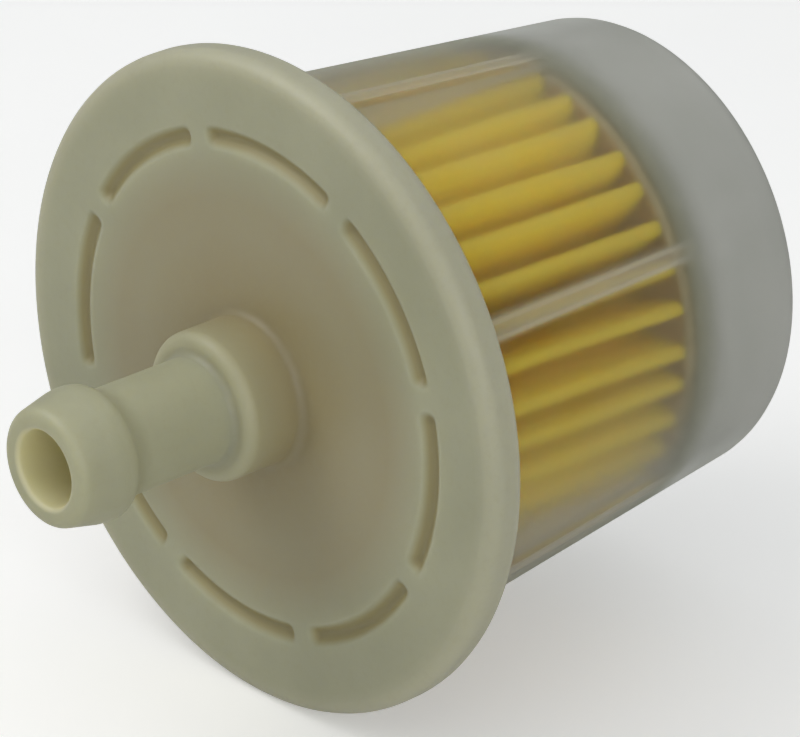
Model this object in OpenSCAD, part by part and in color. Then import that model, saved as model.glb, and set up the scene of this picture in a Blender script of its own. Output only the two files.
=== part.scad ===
// Small-engine fuel filter: a pleated paper element sealed in a moulded nylon
// housing, with a hose nipple at each end.
//
// The axis of the filter runs along Y. The origin lies on that axis, in the
// plane of the cap's front face: the cap's nipple points to -Y and the bowl
// to +Y. Every piece is drawn standing on Z, then laid along Y by on_axis().

/* [Cap] */
// Outer diameter of the cap's flange
flange_d = 40; // [39:0.5:46]
// Thickness of the flange along the axis
flange_t = 2.5; // [2.4:0.1:3]
// Radius of the flange's rounded outer edges
flange_edge_r = 0.9; // [0.5:0.1:1.1]
// Thickness of the cap's plate, inside the rim
plate_t = 1.6; // [1.4:0.1:1.8]
// Diameter of the step in the rim that the bowl's flange sits in
rim_step_d = 36.8; // [36.4:0.1:37]

/* [Drive groove] */
// Outer diameter of the segmented groove in the cap's face
groove_od = 31.6; // [31:0.1:32]
// Width of the groove
groove_w = 1.6; // [1.2:0.1:2]
// Depth of the groove
groove_depth = 0.5; // [0.4:0.1:1]
// Number of bridges that break the groove
bridge_count = 8; // [4:1:12]
// Width of each bridge
bridge_w = 1.3; // [1:0.1:2.5]
// Angle of the first bridge from +Z towards +X
bridge_angle = -16.2; // [-45:0.1:45]

/* [Hose nipples] */
// Diameter of the fuel passage
bore_d = 4.6; // [4:0.1:4.8]
// Diameter of the shank, which takes a quarter-inch hose
shank_d = 6.4; // [6.2:0.1:6.6]
// Largest diameter of the barb
barb_d = 8; // [7.6:0.1:8.4]
// Diameter of the nipple's tip
tip_d = 6.9; // [6.6:0.1:7.2]
// Length of the barb's nose, from the tip to its largest diameter
barb_nose = 2.5; // [2:0.1:3]
// Length of the barb's cylindrical land
barb_land = 1; // [0.8:0.1:1.4]
// Length of the slope behind the barb
barb_back = 1.1; // [0.8:0.1:1.6]
// Radius of the rounded end of the nipple
tip_edge_r = 0.4; // [0.2:0.05:0.5]
// Length of the cap's nipple, with its collar
cap_nipple_len = 15.4; // [13:0.1:18]
// Length of the bowl's nipple
bowl_nipple_len = 8; // [7:0.1:10]

/* [Collar] */
// Diameter of the collar round the cap's nipple
collar_d = 9; // [8.6:0.1:10]
// Height of the collar above the cap's face
collar_h = 4; // [3:0.1:5]
// Radius of the collar's rounded edge
collar_edge_r = 0.7; // [0.3:0.1:0.9]
// Radius of the fillet at the foot of a collar or nipple
foot_fillet_r = 0.5; // [0.3:0.1:0.7]

/* [Bowl] */
// Distance from the cap's face to the bowl's closed end
bowl_end = 31; // [29.5:0.1:34]
// Outer diameter of the bowl at the flange
bowl_front_d = 34; // [33.8:0.1:34.4]
// Outer diameter of the bowl at its closed end
bowl_rear_d = 28.6; // [28.4:0.1:30]
// Thickness of the bowl's wall
bowl_wall = 0.9; // [0.8:0.1:0.9]
// Thickness of the bowl's closed end
bowl_floor_t = 1.4; // [1:0.1:2]
// Radius of the rounded edge at the closed end
bowl_edge_r = 1.2; // [0.8:0.1:1.5]
// Number of lengthwise ribs inside the bowl
rib_count = 6; // [3:1:8]
// Width of each rib
rib_w = 0.9; // [0.6:0.1:1.2]
// Angle of the first rib from +Z towards +X
rib_angle = 4.7; // [-30:0.1:30]

/* [Paper element] */
// Number of pleats
pleat_count = 35; // [30:1:38]
// Outer diameter over the pleats
pleat_od = 27.5; // [27:0.1:27.6]
// Inner diameter inside the pleats
pleat_id = 17.2; // [16.8:0.1:18]
// Thickness of the filter paper
paper_t = 0.35; // [0.25:0.05:0.4]
// Distance from the cap's face to the back of the element
element_end = 23.5; // [22:0.1:25]
// Thickness of the disc that closes the element
end_disc_t = 1.2; // [0.8:0.1:1.5]
// Thickness of each ring of adhesive
potting_t = 0.9; // [0.7:0.1:1.2]
// Angle of the first pleat's root from +Z towards +X
pleat_angle = 7.3; // [0:0.1:10]
// Angle by which each outer fold leans off its root
pleat_lean = -4; // [-5:0.5:0]
// Radius of each outer fold, at the middle of the paper
outer_fold_r = 0.26; // [0.26:0.02:0.5]

/* [Hidden] */

// Smoothness of round parts
$fn = 96;
// Overlap that keeps cuts and unions clean
eps = 0.05;

nylon = [0.90, 0.89, 0.79];
frosted = [0.86, 0.88, 0.84, 0.45];
weld = [0.93, 0.92, 0.84];
yellow = [0.90, 0.72, 0.22];
glue = [0.60, 0.48, 0.26];
fibre = [0.38, 0.36, 0.32];

bore_r = bore_d / 2;
shank_r = shank_d / 2;
barb_r = barb_d / 2;
tip_r = tip_d / 2;
collar_r = collar_d / 2;
flange_r = flange_d / 2;
rim_step_r = rim_step_d / 2;
groove_or = groove_od / 2;

// The joint between cap and bowl: a bead half in each face
bead_r = 17.5;
bead_w = 0.6;
bead_t = 0.4;
// Gap between the bowl's flange and the step in the cap's rim
weld_gap = 0.05;

// The seat of the element on the inner face of the cap
spigot_r = 8.2;
spigot_wall = 0.9;
spigot_h = 2.2;
dam_r = 14.15;
dam_wall = 0.6;

// The bowl's wall is a straight taper from the flange to the closed end
bowl_len = bowl_end - flange_t;
bowl_taper = (bowl_front_d - bowl_rear_d) / 2 / bowl_len;
taper_angle = atan(bowl_taper);
bowl_floor = bowl_end - bowl_floor_t;
bowl_corner_r = 0.6;

// The ribs start behind the dam, and their straight edge ends where the wall meets it
rib_start = 3.4;
rib_edge_r = 13.95;
rib_least_h = 0.25;
rib_room = bowl_front_d / 2 - bowl_wall - rib_least_h - rib_edge_r;
rib_meets_wall = flange_t + rib_room / bowl_taper;

// The pleats run from inside the front adhesive to inside the rear adhesive
disc_front = element_end - end_disc_t;
potting_r = 13.85;
end_disc_r = 13.7;
end_disc_edge_r = 0.3;
paper_bite = 0.6;
paper_front = plate_t + potting_t - paper_bite;
paper_rear = disc_front - potting_t + paper_bite;
pleat_step = 360 / pleat_count;

// Each fold is an arc, and the flanks between them are tangent to both arcs
inner_fold_r = 0.3;
fold_steps = 3;
fold_out_r = pleat_od / 2 - outer_fold_r - paper_t / 2;
fold_in_r = pleat_id / 2 + inner_fold_r + paper_t / 2;
flank_in = fold_in_r * dir(pleat_step / 2) - fold_out_r * dir(pleat_lean);
flank_out = fold_out_r * dir(pleat_lean) - fold_in_r * dir(-pleat_step / 2);
in_turn = angle_of(flank_in) - acos((outer_fold_r + inner_fold_r) / norm(flank_in));
out_turn = angle_of(flank_out) + acos((outer_fold_r + inner_fold_r) / norm(flank_out)) - 180;

// The pleat that holds the glued seam, and the middle line of that pleat
seam_pleat = 22;
pleat_root = fold_in_r * cos(pleat_step / 2) * dir(0);
pleat_line = fold_out_r * dir(pleat_lean) - pleat_root;
seam_from = 0.5;
seam_to = 0.95;

// Outer radius of the bowl at a distance z behind the cap's face
function bowl_r(z) = bowl_front_d / 2 - bowl_taper * (z - flange_t);

// Points of an arc round c, from angle a to angle b
function arc(c, r, a, b, n) = [for (i = [0 : n]) c + r * dir(a + (b - a) * i / n)];

// Unit vector at angle a
function dir(a) = [cos(a), sin(a)];

// Angle of a vector
function angle_of(v) = atan2(v[1], v[0]);

// Lays a piece that stands on Z along Y, with its top towards +Y
module on_axis() {
    rotate([-90, 0, 0]) children();
}

// Turns a piece to an angle that is measured from +Z towards +X
module at_angle(a) {
    rotate([0, 0, a - 90]) children();
}

// Ring of rectangular section, from z0 to z1
module ring(r_in, r_out, z0, z1) {
    translate([0, 0, z0]) difference() {
        cylinder(r = r_out, h = z1 - z0);
        translate([0, 0, -eps]) cylinder(r = r_in, h = z1 - z0 + 2 * eps);
    }
}

// Half-section of a plain disc with both outer edges rounded
module rounded_disc_section(r, t, edge_r) {
    square([r - edge_r, t]);
    translate([0, edge_r]) square([r, t - 2 * edge_r]);
    translate([r - edge_r, edge_r]) circle(r = edge_r);
    translate([r - edge_r, t - edge_r]) circle(r = edge_r);
}

// Half-section of a fillet at the foot of a post of radius r on the plane y = 0
module foot_fillet_section(r, fillet_r) {
    difference() {
        translate([r - eps, -eps]) square(fillet_r + eps);
        translate([r + fillet_r, fillet_r]) circle(r = fillet_r);
    }
}

// Half-section of a hose nipple that stands len high, with no bore
module nipple_section(len) {
    tip = arc([tip_r - tip_edge_r, len - tip_edge_r], tip_edge_r, 90, 0, 6);
    land = len - barb_nose;
    polygon(concat([[0, len]], tip, [
        [barb_r, land],
        [barb_r, land - barb_land],
        [shank_r, land - barb_land - barb_back],
        [shank_r, -eps],
        [0, -eps]
    ]));
}

// Half-section of the collar round the cap's nipple
module collar_section() {
    square([collar_r - collar_edge_r, collar_h]);
    translate([0, -eps]) square([collar_r, collar_h - collar_edge_r + eps]);
    translate([collar_r - collar_edge_r, collar_h - collar_edge_r]) circle(r = collar_edge_r);
    foot_fillet_section(collar_r, foot_fillet_r);
}

// Groove in the cap's face, broken by the bridges
module drive_groove() {
    difference() {
        ring(groove_or - groove_w, groove_or, -eps, groove_depth);
        for (i = [0 : bridge_count - 1])
            at_angle(bridge_angle + i * 360 / bridge_count)
                translate([groove_or - 2 * groove_w, -bridge_w / 2, -2 * eps])
                    cube([3 * groove_w, bridge_w, groove_depth + 3 * eps]);
    }
}

// Half-section of the flange, with the step that takes the bowl's flange
module flange_section() {
    difference() {
        rounded_disc_section(flange_r, flange_t, flange_edge_r);
        translate([-eps, plate_t]) square([rim_step_r + eps, flange_t]);
    }
}

// Cap: flange, drive groove, collar, hose nipple and the seat of the element
module flange_cap() {
    color(nylon) on_axis() difference() {
        union() {
            rotate_extrude() flange_section();
            mirror([0, 0, 1]) rotate_extrude() {
                nipple_section(cap_nipple_len);
                collar_section();
            }
            ring(spigot_r - spigot_wall, spigot_r, plate_t - eps, plate_t + spigot_h);
            ring(dam_r, dam_r + dam_wall, plate_t - eps, plate_t + potting_t);
        }
        drive_groove();
        weld_ring();
        translate([0, 0, -cap_nipple_len - eps]) cylinder(r = bore_r, h = cap_nipple_len + flange_t);
    }
}

// Solid half-section of the bowl: its flange, tapered side and rounded closed end
module bowl_outer_section() {
    edge_z = bowl_end - bowl_edge_r;
    edge_c = [bowl_r(edge_z) - bowl_edge_r / cos(taper_angle), edge_z];
    fillet_top = flange_t + foot_fillet_r;
    translate([0, plate_t]) square([rim_step_r - weld_gap, flange_t - plate_t]);
    polygon(concat(
        [[0, plate_t], [bowl_r(plate_t), plate_t]],
        arc(edge_c, bowl_edge_r, taper_angle, 90, 8),
        [[0, bowl_end]]
    ));
    translate([0, flange_t]) foot_fillet_section(bowl_r(fillet_top), foot_fillet_r);
}

// Half-section of the space inside the bowl
module bowl_inner_section() {
    corner_z = bowl_floor - bowl_corner_r;
    corner_r = bowl_r(corner_z) - bowl_wall - bowl_corner_r / cos(taper_angle);
    polygon(concat(
        [[-eps, plate_t - eps], [bowl_r(plate_t) - bowl_wall, plate_t - eps]],
        arc([corner_r, corner_z], bowl_corner_r, taper_angle, 90, 6),
        [[-eps, bowl_floor]]
    ));
}

// One lengthwise rib: its inner edge guides the pleats, then follows the wall
module bowl_rib() {
    rotate([90, 0, 0]) linear_extrude(rib_w, center = true) polygon([
        [bowl_r(rib_start) - bowl_wall / 2, rib_start],
        [rib_edge_r, rib_start],
        [rib_edge_r, rib_meets_wall],
        [bowl_r(bowl_floor) - bowl_wall - rib_least_h, bowl_floor + eps],
        [bowl_r(bowl_floor) - bowl_wall / 2, bowl_floor + eps]
    ]);
}

// Bowl: flange, tapered wall, ribs, closed end and hose nipple
module bowl() {
    color(frosted) on_axis() difference() {
        union() {
            rotate_extrude() difference() {
                bowl_outer_section();
                bowl_inner_section();
            }
            for (i = [0 : rib_count - 1])
                at_angle(rib_angle + i * 360 / rib_count) bowl_rib();
            translate([0, 0, bowl_end]) rotate_extrude() {
                nipple_section(bowl_nipple_len);
                foot_fillet_section(shank_r, foot_fillet_r);
            }
        }
        weld_ring();
        translate([0, 0, bowl_floor - eps]) cylinder(r = bore_r, h = bowl_end + bowl_nipple_len);
    }
}

// Ring of fused nylon, half in the cap and half in the bowl's flange
module weld_ring() {
    ring(bead_r - bead_w / 2, bead_r + bead_w / 2, plate_t - bead_t / 2, plate_t + bead_t / 2);
}

// Weld between cap and bowl
module weld_bead() {
    color(weld) on_axis() weld_ring();
}

// Outline of one face of the folded paper: side is 1 outside and -1 towards the core
function pleat_outline(side) = [
    for (i = [0 : pleat_count - 1])
        let (
            a = i * pleat_step,
            out_c = fold_out_r * dir(a + pleat_lean),
            in_c = fold_in_r * dir(a + pleat_step / 2),
            out_r = outer_fold_r + side * paper_t / 2,
            in_r = inner_fold_r - side * paper_t / 2
        )
        each concat(
            arc(out_c, out_r, a + out_turn, a + in_turn, fold_steps),
            arc(in_c, in_r, a + in_turn - 180, a + pleat_step + out_turn - 180, fold_steps)
        )
];

// Folded paper between two heights
module pleats(z0, z1) {
    at_angle(pleat_angle) translate([0, 0, z0]) linear_extrude(z1 - z0) difference() {
        polygon(pleat_outline(1));
        polygon(pleat_outline(-1));
    }
}

// Pleated filter paper, closed into a cylinder
module filter_paper() {
    color(yellow) on_axis() pleats(paper_front, paper_rear);
}

// Glue that joins the two ends of the paper strip, inside one pleat
module paper_seam() {
    side = outer_fold_r * [-pleat_line[1], pleat_line[0]] / norm(pleat_line);
    in_end = pleat_root + seam_from * pleat_line;
    out_end = pleat_root + seam_to * pleat_line;
    color(glue) on_axis() difference() {
        at_angle(pleat_angle + seam_pleat * pleat_step)
            translate([0, 0, plate_t + potting_t])
                linear_extrude(disc_front - 2 * potting_t - plate_t)
                    polygon([in_end - side, out_end - side, out_end + side, in_end + side]);
        pleats(paper_front, paper_rear);
    }
}

// Adhesive in the cap's trough, with the front ends of the pleats set in it
module front_potting() {
    color(glue) on_axis() difference() {
        ring(spigot_r, dam_r, plate_t, plate_t + potting_t);
        pleats(paper_front, paper_rear);
    }
}

// Adhesive on the end disc, with the rear ends of the pleats set in it
module rear_potting() {
    color(glue) on_axis() difference() {
        ring(spigot_r, potting_r, disc_front - potting_t, disc_front);
        pleats(paper_front, paper_rear);
    }
}

// Disc that closes the rear end of the element
module rear_end_disc() {
    color(fibre) on_axis() translate([0, 0, disc_front])
        rotate_extrude() rounded_disc_section(end_disc_r, end_disc_t, end_disc_edge_r);
}

flange_cap();
bowl();
weld_bead();
filter_paper();
paper_seam();
front_potting();
rear_potting();
rear_end_disc();
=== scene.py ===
"""Small-engine fuel filter: its moulded housing and paper element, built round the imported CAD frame.

The filter's axis is Y. The cap's nipple points to -Y and the bowl to +Y, and the origin is on the axis, in
the plane of the cap's front face. Angles round the axis run from +Z towards +X. Sizes are in millimetres,
and are turned into metres where meshes and lights are made.
"""

import math
import random

import bmesh
import bpy
import numpy as np
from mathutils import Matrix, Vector


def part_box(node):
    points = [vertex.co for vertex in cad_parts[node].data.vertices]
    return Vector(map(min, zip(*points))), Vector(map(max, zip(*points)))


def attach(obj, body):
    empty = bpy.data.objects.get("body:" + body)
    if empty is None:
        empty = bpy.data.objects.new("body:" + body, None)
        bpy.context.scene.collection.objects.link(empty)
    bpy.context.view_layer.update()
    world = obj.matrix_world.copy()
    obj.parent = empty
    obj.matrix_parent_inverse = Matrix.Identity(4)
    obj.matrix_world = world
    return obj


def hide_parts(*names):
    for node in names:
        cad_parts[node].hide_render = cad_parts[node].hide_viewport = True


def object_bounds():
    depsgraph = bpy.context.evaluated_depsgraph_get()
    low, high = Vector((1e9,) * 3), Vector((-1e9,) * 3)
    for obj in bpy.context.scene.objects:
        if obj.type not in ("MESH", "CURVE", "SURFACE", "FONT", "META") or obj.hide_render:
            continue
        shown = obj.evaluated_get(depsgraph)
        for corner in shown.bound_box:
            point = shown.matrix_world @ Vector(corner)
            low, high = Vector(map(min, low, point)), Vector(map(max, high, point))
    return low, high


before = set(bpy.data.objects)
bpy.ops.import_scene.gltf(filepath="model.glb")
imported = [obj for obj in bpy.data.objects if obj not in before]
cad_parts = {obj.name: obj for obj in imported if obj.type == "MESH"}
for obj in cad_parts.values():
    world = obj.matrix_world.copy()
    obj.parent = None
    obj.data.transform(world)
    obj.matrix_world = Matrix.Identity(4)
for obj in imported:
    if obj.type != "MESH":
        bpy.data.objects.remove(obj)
CAD_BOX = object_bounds()

MM = 0.001
SEED = 20

# ---------------------------------------------------------------- sizes, in millimetres

# Each CAD node's box gives the driving sizes. The filter is round, so X gives radii and Y gives places.
CAP_LOW, CAP_HIGH = (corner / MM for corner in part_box("flange_cap"))
BOWL_LOW, BOWL_HIGH = (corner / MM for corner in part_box("bowl"))
PAPER_LOW, PAPER_HIGH = (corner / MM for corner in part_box("filter_paper"))
DISC_LOW, DISC_HIGH = (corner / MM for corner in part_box("rear_end_disc"))
FRONT_LOW, FRONT_HIGH = (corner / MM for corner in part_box("front_potting"))
REAR_LOW, REAR_HIGH = (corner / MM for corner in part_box("rear_potting"))

# Cap: flange, the step its rim makes round the bowl's flange, and the weld between them
FLANGE_R = CAP_HIGH.x
FLANGE_T = 2.5
FLANGE_EDGE_R = 0.9
PLATE_T = BOWL_LOW.y
STEP_R = 18.4
WELD_GAP = 0.05
BEAD_IN_R, BEAD_OUT_R, BEAD_DEPTH = 17.2, 17.8, 0.2

# Drive groove in the cap's face, broken by bridges; its walls and ends slope over the draft's width
GROOVE_IN_R, GROOVE_OUT_R, GROOVE_DEPTH = 14.2, 15.8, 0.5
GROOVE_DRAFT = 0.78
BRIDGES, BRIDGE_W, BRIDGE_ANGLE = 8, 1.3, -16.2
BRIDGE_TOP = BRIDGE_W / 2 - 0.1

# Hose nipples, and the collar and foot that they stand on
BORE_R, SHANK_R, BARB_R, TIP_R = 2.3, 3.2, 4.0, 3.45
BARB_NOSE, BARB_LAND, BARB_BACK = 2.5, 1.0, 1.1
MOUTH_FILLET, TIP_FILLET, NOSE_FILLET, LAND_FILLET, SHANK_FILLET = 0.3, 0.6, 3.0, 1.2, 2.2
COLLAR_R, COLLAR_H, COLLAR_EDGE_R, COLLAR_FILLET = 4.5, 4.0, 0.7, 0.42
FOOT_R = 0.5
CAP_TIP = CAP_LOW.y
BOWL_TIP = BOWL_HIGH.y

# Seat of the paper element inside the cap
DAM_IN_R, DAM_OUT_R = 14.15, 14.75
SPIGOT_IN_R, SPIGOT_OUT_R = 7.3, 8.2
POTTING_T = FRONT_HIGH.y - FRONT_LOW.y

# Bowl, and the ribs inside it, which fade into its cloudy end
BOWL_END = 31.0
BOWL_FRONT_R, BOWL_REAR_R = 17.0, 14.3
BOWL_WALL, BOWL_FLOOR_T = 0.9, 1.4
BOWL_EDGE_R, BOWL_CORNER_R = 1.2, 0.6
BOWL_FLOOR = BOWL_END - BOWL_FLOOR_T
SEAT_GAP = 0.03
RIBS, RIB_W, RIB_ANGLE = 6, 0.9, 4.7
RIB_START, RIB_EDGE_R, RIB_LEAST_H = 3.4, 13.95, 0.25
RIB_FADE_START, RIB_FADE = 19.8, 3

# Pleats; the twist is in degrees for each millimetre along the element
PLEATS, PLEAT_ANGLE, PLEAT_TWIST = 35, 7.3, 0.15
PLEAT_OUT_R, PLEAT_IN_R, PAPER_T = 13.75, 8.6, 0.35
OUT_FOLD_R, IN_FOLD_R, LEAN = 0.26, 0.3, -4.0


# ---------------------------------------------------------------- mesh helpers


def smooth(x):
    """0 below 0, 1 above 1, and a smooth rise between."""
    x = np.clip(x, 0.0, 1.0)
    return x * x * (3 - 2 * x)


def bowl_radius(y):
    """Outer radius of the bowl's tapered side."""
    taper = (BOWL_FRONT_R - BOWL_REAR_R) / (BOWL_END - FLANGE_T)
    return BOWL_FRONT_R - taper * (y - FLANGE_T)


def outline(corners, steps=6, support=0.06):
    """Closed outline through corners (r, y, radius). A radius turns into an arc with support points."""
    points = []
    for i, (r, y, radius) in enumerate(corners):
        here = Vector((r, y))
        if not radius:
            points.append(here)
            continue
        back = Vector(corners[i - 1][:2]) - here
        on = Vector(corners[(i + 1) % len(corners)][:2]) - here
        u, v = back.normalized(), on.normalized()
        half = u.angle(v) / 2
        reach = radius / math.tan(half)
        centre = here + (u + v).normalized() * (radius / math.sin(half))
        first, last = here + u * reach - centre, here + v * reach - centre
        turn = math.atan2(first.cross(last), first.dot(last))
        if back.length > reach + 3 * support:
            points.append(here + u * (reach + support))
        for k in range(steps + 1):
            a = turn * k / steps
            c, s = math.cos(a), math.sin(a)
            points.append(centre + Vector((first.x * c - first.y * s, first.x * s + first.y * c)))
        if on.length > reach + 3 * support:
            points.append(here + v * (reach + support))
    return points


def mesh_object(name, points, faces):
    """A clean closed mesh object from points in millimetres, with its normals outward."""
    mesh = bpy.data.meshes.new(name)
    mesh.from_pydata([tuple(p) for p in np.asarray(points) * MM], [], faces)
    bm = bmesh.new()
    bm.from_mesh(mesh)
    bmesh.ops.recalc_face_normals(bm, faces=bm.faces)
    bm.to_mesh(mesh)
    bm.free()
    mesh.polygons.foreach_set("use_smooth", [True] * len(mesh.polygons))
    mesh.update()
    piece = bpy.data.objects.new(name, mesh)
    bpy.context.collection.objects.link(piece)
    return piece


def grid_faces(rows, columns, wrap_rows=True, wrap_columns=True, start=0):
    """Quads of a grid of rows x columns points, closed either way round."""
    faces = []
    for i in range(rows if wrap_rows else rows - 1):
        for j in range(columns if wrap_columns else columns - 1):
            a, b = i * columns + j, i * columns + (j + 1) % columns
            c = (i + 1) % rows * columns
            faces.append((start + a, start + b, start + c + (j + 1) % columns, start + c + j))
    return faces


def round_axis(radius, y, angle):
    """Points at a radius, a place along Y and an angle from +Z towards +X."""
    return np.stack(np.broadcast_arrays(radius * np.sin(angle), y, radius * np.cos(angle)), axis=-1)


def lathe(name, path, angles, warp=None):
    """Closed outline turned round the axis. warp(r, y, angle) may move the points of the turned grid."""
    r = np.array([p[0] for p in path])[None, :]
    y = np.array([p[1] for p in path])[None, :]
    angle = np.asarray(angles)[:, None]
    r, y, angle = np.broadcast_arrays(r, y, angle)
    if warp:
        r, y = warp(r, y, angle)
    points = round_axis(r, y, angle).reshape(-1, 3)
    return mesh_object(name, points, grid_faces(len(angles), len(path)))


def turns(count, extra=()):
    """Even angles round a full turn, with extra ones put in where detail needs them."""
    even = list(np.linspace(0, 2 * math.pi, count, endpoint=False))
    near = 0.25 * 2 * math.pi / count
    kept = [a for a in even if all(abs(math.remainder(a - e, 2 * math.pi)) > near for e in extra)]
    return sorted(kept + [e % (2 * math.pi) for e in extra])


def repeat_angle(angle, count, first):
    """Angle from the nearest of count even places, the first at `first` degrees."""
    pitch = 2 * math.pi / count
    return np.abs(np.mod(angle - math.radians(first) + pitch / 2, pitch) - pitch / 2)


def attribute(piece, name, values):
    """A number for each vertex, which the material reads by name."""
    layer = piece.data.attributes.new(name, "FLOAT", "POINT")
    layer.data.foreach_set("value", np.asarray(values, np.float32))


def coordinates(piece):
    """(radius, y, angle) of each vertex, in millimetres."""
    co = np.empty(len(piece.data.vertices) * 3)
    piece.data.vertices.foreach_get("co", co)
    x, y, z = co.reshape(-1, 3).T / MM
    return np.hypot(x, z), y, np.arctan2(x, z)


# ---------------------------------------------------------------- the moulded housing


def nipple_corners(tip, way):
    """Corners of a hose nipple from its bore's mouth to its shank. It points along Y by way, -1 or 1."""
    nose = tip - way * BARB_NOSE
    land = nose - way * BARB_LAND
    return [
        (BORE_R, tip, MOUTH_FILLET),
        (TIP_R, tip, TIP_FILLET),
        (BARB_R, nose, NOSE_FILLET),
        (BARB_R, land, LAND_FILLET),
        (SHANK_R, land - way * BARB_BACK, SHANK_FILLET),
    ]


def groove_samples():
    """Radii across the drive groove's two walls, close enough to draw them."""
    steps = np.array([-0.4, 0, 0.12, 0.25, 0.4, 0.55, 0.7, 0.85, 1]) * GROOVE_DRAFT
    return [*(GROOVE_IN_R + steps), *(GROOVE_OUT_R - steps[::-1])]


def flange_cap():
    """Cap: flange with its segmented drive groove, collar, hose nipple, and the seat of the element."""
    corners = [
        (COLLAR_R, 0, FOOT_R),
        *((r, 0, 0) for r in groove_samples()),
        (FLANGE_R, 0, FLANGE_EDGE_R),
        (FLANGE_R, FLANGE_T, FLANGE_EDGE_R - 0.1),
        (STEP_R, FLANGE_T, 0.12),
        (STEP_R, PLATE_T, 0.1),
        (BEAD_OUT_R, PLATE_T, 0),
        (BEAD_OUT_R, PLATE_T - BEAD_DEPTH, 0),
        (BEAD_IN_R, PLATE_T - BEAD_DEPTH, 0),
        (BEAD_IN_R, PLATE_T, 0),
        (DAM_OUT_R, PLATE_T, 0.1),
        (DAM_OUT_R, PLATE_T + POTTING_T, 0.15),
        (DAM_IN_R, PLATE_T + POTTING_T, 0.15),
        (DAM_IN_R, PLATE_T, 0.1),
        (SPIGOT_OUT_R, PLATE_T, 0.1),
        (SPIGOT_OUT_R, CAP_HIGH.y, 0.3),
        (SPIGOT_IN_R, CAP_HIGH.y, 0.3),
        (SPIGOT_IN_R, PLATE_T, 0.2),
        (BORE_R, PLATE_T, 0.2),
        *nipple_corners(CAP_TIP, -1),
        (SHANK_R, -COLLAR_H, COLLAR_FILLET),
        (COLLAR_R, -COLLAR_H, COLLAR_EDGE_R),
    ]

    def cut_groove(r, y, angle):
        on_face = (np.abs(y) < 1e-6) & (r > GROOVE_IN_R - 1) & (r < GROOVE_OUT_R + 1)
        across = smooth((r - GROOVE_IN_R) / GROOVE_DRAFT) * smooth((GROOVE_OUT_R - r) / GROOVE_DRAFT)
        from_bridge = repeat_angle(angle, BRIDGES, BRIDGE_ANGLE) * r - BRIDGE_TOP
        along = smooth(from_bridge / GROOVE_DRAFT)
        return r, y + on_face * GROOVE_DEPTH * across * along

    middle_r = (GROOVE_IN_R + GROOVE_OUT_R) / 2
    ends = []
    for i in range(BRIDGES):
        bridge = math.radians(BRIDGE_ANGLE + i * 360 / BRIDGES)
        for share in (-0.3, 0, 0.15, 0.35, 0.55, 0.75, 1, 1.3):
            off = (BRIDGE_TOP + share * GROOVE_DRAFT) / middle_r
            ends += [bridge - off, bridge + off]
    return lathe("flange_cap_moulding", outline(corners), turns(300, ends), cut_groove)


def bowl():
    """Bowl: flange, tapered frosted side with ribs inside, closed end and hose nipple."""
    seat = PLATE_T + SEAT_GAP
    inner_front = bowl_radius(seat) - BOWL_WALL
    inner_rear = bowl_radius(BOWL_FLOOR) - BOWL_WALL
    # Rows along the wall, outside and inside, carry the haze; those by the ribs' front ends draw their rise
    outside = np.linspace(FLANGE_T + 1, BOWL_END - 2, 36)
    inside = np.linspace(BOWL_FLOOR - 1.2, RIB_START + 0.6, 40)
    rib_front = [RIB_START + s for s in (0.45, 0.3, 0.2, 0.1, 0, -0.1, -0.2, -0.35)]
    corners = [
        (inner_front, seat, 0.1),
        (STEP_R - WELD_GAP, seat, 0.1),
        (STEP_R - WELD_GAP, FLANGE_T, 0.15),
        (bowl_radius(FLANGE_T), FLANGE_T, FOOT_R),
        *((bowl_radius(y), y, 0) for y in outside),
        (BOWL_REAR_R, BOWL_END, BOWL_EDGE_R),
        (SHANK_R, BOWL_END, FOOT_R),
        *reversed(nipple_corners(BOWL_TIP, 1)),
        (BORE_R, BOWL_FLOOR, 0.2),
        (inner_rear, BOWL_FLOOR, BOWL_CORNER_R),
        *((bowl_radius(y) - BOWL_WALL, y, 0) for y in [*inside, *rib_front]),
    ]

    def raise_ribs(r, y, angle):
        wall = bowl_radius(y) - BOWL_WALL
        on_wall = (r < wall + 0.02) & (r > inner_rear - BOWL_CORNER_R - 0.1) & (y < BOWL_FLOOR)
        height = np.maximum(wall - RIB_EDGE_R, RIB_LEAST_H) * smooth((y - RIB_START + 0.3) / 0.6)
        off_centre = repeat_angle(angle, RIBS, RIB_ANGLE) * RIB_EDGE_R
        across = smooth((RIB_W / 2 + 0.06 - off_centre) / 0.16)
        return r - on_wall * height * across, y

    sides = []
    for i in range(RIBS):
        rib = math.radians(RIB_ANGLE + i * 360 / RIBS)
        for d in (0, 0.2, 0.32, 0.37, 0.41, 0.45, 0.49, 0.53, 0.58):
            sides += [rib - d / RIB_EDGE_R, rib + d / RIB_EDGE_R] if d else [rib]
    piece = lathe("bowl_moulding", outline(corners), turns(260, sides), raise_ribs)

    # How milky the plastic looks: it clouds towards the closed end, and in the thick flange, ribs and nipple
    r, y, angle = coordinates(piece)
    off_centre = repeat_angle(angle, RIBS, RIB_ANGLE) * RIB_EDGE_R
    beside_rib = (y > RIB_START) * (1 - smooth((y - RIB_FADE_START) / RIB_FADE))
    wall = 0.01 + 0.04 * smooth((y - 8) / 12)
    closed_end = 0.65 * smooth((y - 20.4) / 4.6)
    flange = 0.4 * smooth((3.4 - y) / 0.8)
    rib_middle = 0.22 * smooth((0.75 - off_centre) / 0.4)
    # Painted highlight: more haze along each rib's two edges, in place of their bright refracted edges
    rib_edge_painted_highlight = 0.26 * np.exp(-(((off_centre - 0.38) / 0.12) ** 2))
    nipple = 0.2 * smooth((5.5 - r) / 1.5) * (y > BOWL_FLOOR)
    haze = wall + closed_end + flange + (rib_middle + rib_edge_painted_highlight) * beside_rib + nipple
    attribute(piece, "haze", np.clip(haze, 0, 1))
    attribute(piece, "rib", smooth((0.7 - off_centre) / 0.2) * beside_rib)
    return piece


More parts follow.
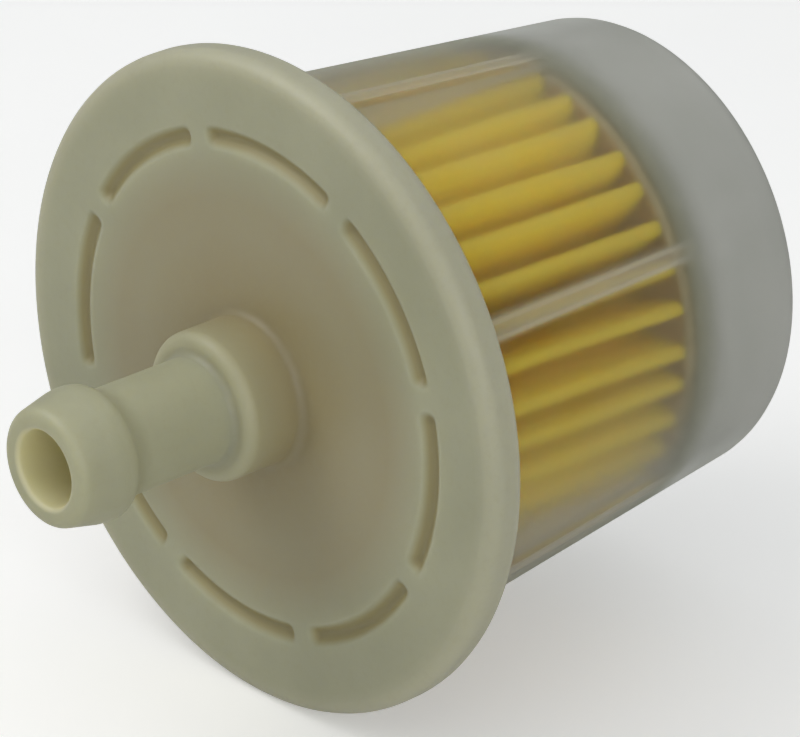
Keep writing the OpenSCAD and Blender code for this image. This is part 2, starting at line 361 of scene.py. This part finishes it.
# ---------------------------------------------------------------- the paper element


def pleat_section(outer, inner, lean):
    """Middle line of the folded strip: for each pleat an arc, a flank, an arc and a flank.

    outer, inner and lean hold each pleat's own radii and angle. Returns the points and, for each, how close
    it is to an outer fold.
    """
    points, folds = [], []
    arc_steps, flank_steps = 10, 4
    step = 2 * math.pi / PLEATS

    def at(radius, angle):
        return Vector((math.cos(angle), math.sin(angle))) * radius

    centres = []
    for i in range(PLEATS):
        centres.append(at(outer[i] - OUT_FOLD_R - PAPER_T / 2, lean[i] + i * step + math.radians(LEAN)))
        middle = (lean[i] + lean[(i + 1) % PLEATS]) / 2
        centres.append(at(inner[i] + IN_FOLD_R + PAPER_T / 2, middle + (i + 0.5) * step))
    tangents = []
    for i, here in enumerate(centres):
        on = centres[(i + 1) % len(centres)] - here
        side = -1 if i % 2 == 0 else 1
        normal = math.atan2(on.y, on.x) + side * math.acos((OUT_FOLD_R + IN_FOLD_R) / on.length)
        tangents.append(normal)
    for i, here in enumerate(centres):
        outside = i % 2 == 0
        fold_r, next_fold_r = (OUT_FOLD_R, IN_FOLD_R) if outside else (IN_FOLD_R, OUT_FOLD_R)
        start, end = tangents[i - 1] + math.pi, tangents[i]
        sweep = math.remainder(end - start, 2 * math.pi)
        sweep += 2 * math.pi if outside and sweep < 0 else 0
        sweep -= 2 * math.pi if not outside and sweep > 0 else 0
        for k in range(arc_steps + 1):
            a = start + sweep * k / arc_steps
            points.append(here + at(fold_r, a))
            folds.append(math.sin(math.pi * k / arc_steps) ** 2 if outside else 0)
        first, last = here + at(fold_r, end), centres[(i + 1) % len(centres)] - at(next_fold_r, end)
        for k in range(1, flank_steps):
            points.append(first.lerp(last, k / flank_steps))
            folds.append(0)
    return points, folds


def filter_paper():
    """Pleated strip of paper with a slight twist and the small unevenness of real folds."""
    rng = random.Random(SEED)
    rows = 30
    sway = math.radians(0.25)
    out_jitter = [rng.uniform(-0.10, 0.0) for _ in range(PLEATS)]
    in_jitter = [rng.uniform(-0.15, 0.15) for _ in range(PLEATS)]
    lean = [math.radians(rng.uniform(-0.7, 0.7)) for _ in range(PLEATS)]
    phase = [rng.uniform(0, 2 * math.pi) for _ in range(PLEATS)]
    tilt = [math.radians(rng.uniform(-0.8, 0.8)) for _ in range(PLEATS)]
    outer = [PLEAT_OUT_R + j for j in out_jitter]
    inner = [PLEAT_IN_R + j for j in in_jitter]
    skins, folds = ([], []), []
    for row in range(rows + 1):
        share = row / rows
        y = PAPER_LOW.y + (PAPER_HIGH.y - PAPER_LOW.y) * share
        twist = math.radians(PLEAT_ANGLE + PLEAT_TWIST * y)
        wave = [
            twist + lean[i] + tilt[i] * (share - 0.5) + sway * math.sin(phase[i] + 5 * share)
            for i in range(PLEATS)
        ]
        line, fold = pleat_section(outer, inner, wave)
        line = np.array([tuple(p) for p in line])
        along = np.roll(line, -1, axis=0) - np.roll(line, 1, axis=0)
        normal = np.stack([along[:, 1], -along[:, 0]], axis=1)
        normal /= np.linalg.norm(normal, axis=1)[:, None]
        for skin, side in zip(skins, (1, -1)):
            moved = line + normal * side * PAPER_T / 2
            skin.append(round_axis(np.hypot(*moved.T), y, np.arctan2(moved[:, 1], moved[:, 0])))
        folds.append(fold)
    columns = len(folds[0])
    points = np.concatenate([np.array(skin).reshape(-1, 3) for skin in skins])
    half = (rows + 1) * columns
    faces = grid_faces(rows + 1, columns, wrap_rows=False)
    faces += grid_faces(rows + 1, columns, wrap_rows=False, start=half)
    for first in (0, rows * columns):
        for j in range(columns):
            a, b = first + j, first + (j + 1) % columns
            faces.append((a, b, half + b, half + a))
    piece = mesh_object("pleated_paper", points, faces)
    attribute(piece, "fold", np.concatenate([np.array(folds).ravel()] * 2))
    return piece


def potting(name, low, high, free_side):
    """Ring of adhesive: its free side is wavy and climbs a little at both edges."""
    rng = random.Random(SEED + (free_side > 0))
    r_in, r_out = SPIGOT_OUT_R, high.x
    face = high.y if free_side > 0 else low.y
    back = low.y if free_side > 0 else high.y
    phases = [rng.uniform(0, 2 * math.pi) for _ in range(4)]
    radii = np.linspace(r_in, r_out, 14)
    path = [(r, face) for r in radii] + [(r, back) for r in reversed(radii)]

    def wavy(r, y, angle):
        wave = sum(np.sin(n * angle + p + 0.9 * r) for n, p in zip((3, 7, 11, 17), phases)) / 4
        edge = np.minimum(r - r_in, r_out - r)
        drop = 0.12 + 0.05 * wave - 0.1 * np.exp(-edge / 0.35)
        return r, y - free_side * drop * (np.abs(y - face) < 1e-6)

    return lathe(name, path, turns(180), wavy)


def end_disc():
    """Pressed disc that closes the rear of the element, with a shallow step round its middle."""
    rim, middle = DISC_HIGH.x, 5.0
    corners = [
        (0.0, DISC_LOW.y, 0),
        (rim, DISC_LOW.y, 0.25),
        (rim, DISC_HIGH.y, 0.3),
        (middle + 0.4, DISC_HIGH.y, 0.2),
        (middle, DISC_HIGH.y - 0.25, 0.2),
        (0.0, DISC_HIGH.y - 0.25, 0),
    ]
    piece = lathe("end_disc", outline(corners), turns(160))
    bm = bmesh.new()
    bm.from_mesh(piece.data)
    bmesh.ops.remove_doubles(bm, verts=bm.verts, dist=1e-7)
    bmesh.ops.dissolve_degenerate(bm, edges=bm.edges, dist=1e-8)
    bm.to_mesh(piece.data)
    bm.free()
    return piece


# ---------------------------------------------------------------- materials


def add_node(tree, kind, inputs=None, **settings):
    """A new shader node with its settings. Inputs are sockets to link from, or plain values."""
    made = tree.nodes.new("ShaderNode" + kind)
    for key, value in settings.items():
        setattr(made, key, value)
    for key, value in (inputs or {}).items():
        if isinstance(value, bpy.types.NodeSocket):
            tree.links.new(value, made.inputs[key])
        else:
            made.inputs[key].default_value = value
    return made


class Nodes:
    """One node material, and short names for the nodes that the materials use most."""

    def __init__(self, name):
        self.material = bpy.data.materials.new(name)
        self.material.use_nodes = True
        self.tree = self.material.node_tree
        self.tree.nodes.clear()
        self.output = self.tree.nodes.new("ShaderNodeOutputMaterial")

    def node(self, kind, inputs=None, **settings):
        return add_node(self.tree, kind, inputs, **settings)

    def place(self):
        """Position on the piece, in millimetres."""
        here = self.node("TexCoord").outputs["Object"]
        return self.node("VectorMath", {0: here, "Scale": 1 / MM}, operation="SCALE").outputs[0]

    def noise(self, place, scale, detail=3.0, roughness=0.5):
        inputs = {"Vector": place, "Scale": scale, "Detail": detail, "Roughness": roughness}
        return self.node("TexNoise", inputs).outputs["Fac"]

    def ramp(self, value, low, high, to_low=0.0, to_high=1.0):
        """Maps value from low..high to to_low..to_high, and clamps it."""
        inputs = {"Value": value, "From Min": low, "From Max": high, "To Min": to_low, "To Max": to_high}
        return self.node("MapRange", inputs).outputs["Result"]

    def blend(self, share, a, b):
        """Mix of two colours: a where share is 0, b where it is 1."""
        a, b = (colour if isinstance(colour, bpy.types.NodeSocket) else (*colour, 1) for colour in (a, b))
        return self.node("Mix", {0: share, 6: a, 7: b}, data_type="RGBA").outputs[2]

    def plus(self, a, b):
        return self.node("Math", {0: a, 1: b}, operation="ADD").outputs[0]

    def times(self, a, b):
        return self.node("Math", {0: a, 1: b}, operation="MULTIPLY").outputs[0]

    def bump(self, height, strength, distance, normal=None):
        inputs = {"Height": height, "Strength": strength, "Distance": distance}
        if normal is not None:
            inputs["Normal"] = normal
        return self.node("Bump", inputs).outputs["Normal"]

    def finish(self, shader):
        self.tree.links.new(shader, self.output.inputs["Surface"])
        return self.material


def radius_of(n, place):
    """Distance from the filter's axis, in millimetres."""
    flat = n.node("VectorMath", {0: place, 1: (1, 0, 1)}, operation="MULTIPLY").outputs[0]
    return n.node("VectorMath", {0: flat}, operation="LENGTH").outputs["Value"]


def cap_nylon():
    """Natural nylon of the cap: cream, satin, slightly waxy, and warmer where the element's show-through is
    painted in.
    """
    n = Nodes("cap_nylon")
    place = n.place()
    radius = radius_of(n, place)
    along = n.node("SeparateXYZ", {0: place}).outputs["Y"]
    cloud = n.noise(place, 0.12, 4)
    speck = n.noise(place, 1.6, 5, 0.65)
    fine = n.noise(place, 9, 4, 0.6)
    colour = n.blend(n.ramp(cloud, 0.35, 0.7), (0.40, 0.40, 0.27), (0.45, 0.45, 0.31))

    # Painted show-through: warmer and darker over the paper element, as if its yellow showed through the
    # nylon
    near_face = n.ramp(along, -4.5, -0.2)
    painted_show_through = n.times(n.ramp(radius, 14.6, 11.5), near_face)
    painted_show_through = n.times(painted_show_through, n.ramp(cloud, 0.2, 0.8, 0.6, 1.0))
    colour = n.blend(painted_show_through, colour, (0.37, 0.32, 0.19))
    # Painted shadow: browner and darker on the face round the collar, and more so close to it
    painted_collar_shadow = n.times(n.ramp(radius, 9.5, 5.5, 0.0, 0.6), near_face)
    colour = n.blend(painted_collar_shadow, colour, (0.35, 0.285, 0.14))
    # Painted highlight: lighter along the flange's edge
    painted_edge_highlight = n.ramp(radius, FLANGE_R - 1.5, FLANGE_R - 0.3, 0.0, 0.5)
    colour = n.blend(painted_edge_highlight, colour, (0.50, 0.49, 0.39))
    colour = n.blend(n.ramp(speck, 0.5, 0.8, 0.0, 0.3), colour, (0.38, 0.35, 0.22))

    # Painted shade: darker in the drive groove
    over_groove = n.times(
        n.ramp(radius, GROOVE_IN_R - 0.1, GROOVE_IN_R),
        n.ramp(radius, GROOVE_OUT_R + 0.1, GROOVE_OUT_R),
    )
    painted_groove_shade = n.times(n.ramp(along, 0.03, 0.3), over_groove)
    colour = n.blend(n.times(painted_groove_shade, 0.8), colour, (0.37, 0.315, 0.14))
    # Painted light: a paler, deeper cream inside the bore, in place of light scattered through its thin wall
    painted_bore_light = n.ramp(radius, BORE_R + 0.25, BORE_R + 0.02)
    colour = n.blend(painted_bore_light, colour, (0.66, 0.63, 0.41))

    normal = n.bump(fine, 0.10, 0.00004)
    normal = n.bump(n.noise(place, 0.45, 3), 0.12, 0.0003, normal)
    shader = n.node("BsdfPrincipled", {
        "Base Color": colour,
        "Roughness": n.ramp(fine, 0.3, 0.7, 0.40, 0.52),
        "IOR": 1.53,
        "Subsurface Weight": 0.8,
        "Subsurface Radius": (1.0, 0.92, 0.6),
        "Subsurface Scale": 0.003,
        "Normal": normal,
    })
    return n.finish(shader.outputs[0])


def frosted_nylon():
    """Frosted see-through nylon of the bowl. Its haze attribute says how much of it scatters light."""
    n = Nodes("frosted_nylon")
    place = n.place()
    haze = n.node("Attribute", attribute_name="haze").outputs["Fac"]
    rib = n.node("Attribute", attribute_name="rib").outputs["Fac"]
    cloud = n.noise(place, 0.25, 4)
    fine = n.noise(place, 5, 4, 0.6)
    tint = (0.95, 0.94, 0.88, 1)
    glass = n.node("BsdfPrincipled", {
        "Base Color": tint,
        "Roughness": n.ramp(haze, 0, 0.6, 0.28, 0.6),
        "IOR": 1.25,
        "Specular IOR Level": 0.25,
        "Transmission Weight": 1.0,
    })

    # The milky share of the wall: painted light from the paper makes it darker and yellower where it is
    # thin, and painted light makes it paler and warmer in the ribs
    clouded = n.blend(n.ramp(cloud, 0.3, 0.7), (0.53, 0.54, 0.49), (0.58, 0.585, 0.54))
    painted_paper_light = n.blend(n.ramp(haze, 0.1, 0.55), (0.39, 0.405, 0.28), clouded)
    milk = n.node("BsdfPrincipled", {
        "Base Color": n.blend(rib, painted_paper_light, (0.585, 0.55, 0.42)),
        "Roughness": 0.5,
        "IOR": 1.4,
        "Normal": n.bump(fine, 0.05, 0.00003),
    })

    # Lamps shine through the clear share, so that the paper inside is lit
    clear = n.node("BsdfTransparent", {"Color": tint})
    lamp = n.node("LightPath").outputs["Is Shadow Ray"]
    open_glass = n.node("MixShader", {0: lamp, 1: glass.outputs[0], 2: clear.outputs[0]})

    # Frosted plastic looks milkier where it is seen along its surface
    facing = n.node("LayerWeight", {"Blend": 0.5}).outputs["Facing"]
    share = n.plus(haze, n.ramp(facing, 0.74, 0.9, 0.0, 0.4))
    share = n.plus(share, n.ramp(cloud, 0.3, 0.7, -0.02, 0.02))
    shader = n.node("MixShader", {0: n.ramp(share, 0, 1), 1: open_glass.outputs[0], 2: milk.outputs[0]})
    return n.finish(shader.outputs[0])


def filter_paper_material():
    """Resin-treated yellow filter paper: fibrous, and duller along its outer folds, where shade is painted.
    """
    n = Nodes("filter_paper")
    place = n.place()
    fold = n.node("Attribute", attribute_name="fold").outputs["Fac"]
    cloud = n.noise(place, 0.5, 4)
    fibre_place = n.node("VectorMath", {0: place, 1: (3, 0.7, 3)}, operation="MULTIPLY").outputs[0]
    fibre = n.noise(fibre_place, 2.2, 6, 0.7)
    colour = n.blend(n.ramp(cloud, 0.3, 0.7), (0.98, 0.63, 0.02), (0.99, 0.68, 0.03))
    colour = n.blend(n.ramp(fibre, 0.35, 0.7, 0.0, 0.4), colour, (0.99, 0.72, 0.035))
    # Painted shade: darker and greener along the outer folds, to offset the light that the ridges catch
    colour = n.blend(n.ramp(fold, 0.0, 0.6, 0.0, 0.85), colour, (0.58, 0.47, 0.03))
    shader = n.node("BsdfPrincipled", {
        "Base Color": colour,
        "Roughness": n.ramp(fibre, 0.3, 0.7, 0.7, 0.9),
        "Subsurface Weight": 1.0,
        "Subsurface Radius": (1.0, 0.75, 0.2),
        "Subsurface Scale": 0.0010,
        "Normal": n.bump(fibre, 0.5, 0.00005),
    })
    return n.finish(shader.outputs[0])


def adhesive():
    """Cured amber potting adhesive, glossy where it pooled."""
    n = Nodes("adhesive")
    place = n.place()
    cloud = n.noise(place, 0.7, 4)
    shader = n.node("BsdfPrincipled", {
        "Base Color": n.blend(n.ramp(cloud, 0.3, 0.7), (0.30, 0.24, 0.13), (0.38, 0.31, 0.18)),
        "Roughness": n.ramp(cloud, 0.3, 0.7, 0.25, 0.5),
        "Normal": n.bump(n.noise(place, 1.5, 3), 0.3, 0.0002),
    })
    return n.finish(shader.outputs[0])


def pressed_fibre():
    """Dark pressed fibre of the end disc."""
    n = Nodes("end_disc_fibre")
    place = n.place()
    fibre = n.noise(place, 3.0, 6, 0.75)
    shader = n.node("BsdfPrincipled", {
        "Base Color": n.blend(n.ramp(fibre, 0.3, 0.7), (0.26, 0.25, 0.19), (0.34, 0.32, 0.25)),
        "Roughness": n.ramp(fibre, 0.3, 0.7, 0.75, 0.95),
        "Normal": n.bump(fibre, 0.6, 0.0001),
    })
    return n.finish(shader.outputs[0])


def dress(piece, material):
    """Gives a piece one material."""
    piece.data.materials.clear()
    piece.data.materials.append(material)
    return piece


# ---------------------------------------------------------------- stage, lights and camera


def aim(thing, towards):
    """Turns a lamp or camera so that its back points along a direction."""
    thing.rotation_mode = "QUATERNION"
    thing.rotation_quaternion = Vector(towards).to_track_quat("Z", "Y")


def lamp_object(name, kind, towards, energy, colour):
    """A lamp that lies in a direction from the filter and faces it."""
    lamp = bpy.data.lights.new(name, kind)
    lamp.energy, lamp.color = energy, colour
    thing = bpy.data.objects.new(name, lamp)
    bpy.context.collection.objects.link(thing)
    aim(thing, towards)
    return thing


def sun(name, towards, strength, angle, colour):
    """A distant lamp, softer for a wider angle in degrees."""
    thing = lamp_object(name, "SUN", towards, strength, colour)
    thing.data.angle = math.radians(angle)


def softbox(name, towards, distance, size, power, colour):
    """A square area lamp, which the camera doesn't see."""
    thing = lamp_object(name, "AREA", towards, power, colour)
    thing.data.size = size
    thing.location = Vector(towards).normalized() * distance
    thing.visible_camera = False


def floor():
    """Plain pale floor under the flange. It glows a little, and looks paler than the light it sends up."""
    bm = bmesh.new()
    bmesh.ops.create_grid(bm, x_segments=8, y_segments=8, size=6)
    mesh = bpy.data.meshes.new("floor")
    bm.to_mesh(mesh)
    bm.free()
    thing = bpy.data.objects.new("floor", mesh)
    bpy.context.collection.objects.link(thing)
    thing.location.z = CAD_BOX[0].z
    n = Nodes("pale_floor")
    grain = n.noise(n.place(), 0.05, 3)
    is_seen = n.node("LightPath").outputs["Is Camera Ray"]
    seen = n.blend(n.ramp(grain, 0.3, 0.7), (0.92, 0.92, 0.91), (0.94, 0.94, 0.93))
    shader = n.node("BsdfPrincipled", {
        "Base Color": n.blend(is_seen, (0.54, 0.54, 0.53), seen),
        "Roughness": 0.7,
        "Emission Color": (1.0, 1.0, 0.99, 1),
        "Emission Strength": n.ramp(is_seen, 0, 1, 0.12, 0.3),
    })
    dress(thing, n.finish(shader.outputs[0]))


def room():
    """A pale room that is brighter overhead, and plain where it is seen."""
    world = bpy.data.worlds.new("room")
    bpy.context.scene.world = world
    world.use_nodes = True
    tree = world.node_tree
    tree.nodes.clear()
    place = add_node(tree, "TexCoord").outputs["Generated"]
    height = add_node(tree, "SeparateXYZ", {0: place}).outputs["Z"]
    rise = {"Value": height, "From Min": 0.0, "From Max": 1.0, "To Min": 0.15, "To Max": 0.62}
    strength = add_node(tree, "MapRange", rise).outputs["Result"]
    overhead = add_node(tree, "Background", {0: (0.96, 0.98, 1.0, 1), 1: strength})
    seen = add_node(tree, "Background", {0: (0.99, 1.0, 1.0, 1), 1: 0.88})
    is_seen = add_node(tree, "LightPath").outputs["Is Camera Ray"]
    mixed = add_node(tree, "MixShader", {0: is_seen, 1: overhead.outputs[0], 2: seen.outputs[0]})
    tree.links.new(mixed.outputs[0], add_node(tree, "OutputWorld").inputs[0])


def lamps():
    """Soft light from the upper left, and weaker light from the right, the front and above."""
    softbox("key", (-0.42, -0.5, 0.8), 165 * MM, 110 * MM, 0.085, (1.0, 0.98, 0.95))
    sun("side", (0.95, -0.44, 0.13), 1.13, 55, (1.0, 0.99, 0.97))
    sun("front", (0.1, -1.0, 0.35), 0.1, 70, (1.0, 0.99, 0.97))
    sun("top", (0.3, 0.3, 1.0), 0.12, 60, (0.95, 0.98, 1.0))


def camera():
    """Long lens that sees the cap's face and the bowl's side from a little above."""
    azimuth, elevation, distance = 46.7, 25.0, 274.4
    right_shift, up_shift = 8.59, 1.17
    a, e = math.radians(azimuth), math.radians(elevation)
    back = Vector((math.sin(a) * math.cos(e), -math.cos(a) * math.cos(e), math.sin(e)))
    right = Vector((math.cos(a), math.sin(a), 0))
    up = back.cross(right)
    data = bpy.data.cameras.new("camera")
    data.lens, data.sensor_width = 215, 36
    data.clip_start, data.clip_end = 0.01, 20
    thing = bpy.data.objects.new("camera", data)
    bpy.context.collection.objects.link(thing)
    thing.location = (back * distance + right * right_shift + up * up_shift) * MM
    aim(thing, back)
    bpy.context.scene.camera = thing


# ---------------------------------------------------------------- build

camera()
floor()
room()
lamps()

nylon, frost, paper, glue = cap_nylon(), frosted_nylon(), filter_paper_material(), adhesive()
PIECES = [
    (flange_cap(), nylon, "flange_cap", "cap_nylon"),
    (bowl(), frost, "bowl", "frosted_nylon"),
    (filter_paper(), paper, "filter_paper", "filter_paper"),
    (potting("front_adhesive", FRONT_LOW, FRONT_HIGH, 1), glue, "front_potting", "adhesive"),
    (potting("rear_adhesive", REAR_LOW, REAR_HIGH, -1), glue, "rear_potting", "adhesive"),
    (end_disc(), pressed_fibre(), "rear_end_disc", "end_disc_fibre"),
]
for piece, material, node, slot in PIECES:
    dress(piece, material)
    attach(piece, "root")
    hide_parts(node)
for node, material in (("weld_bead", nylon), ("paper_seam", glue)):
    dress(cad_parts[node], material)

bpy.context.scene.view_settings.view_transform = "Standard"
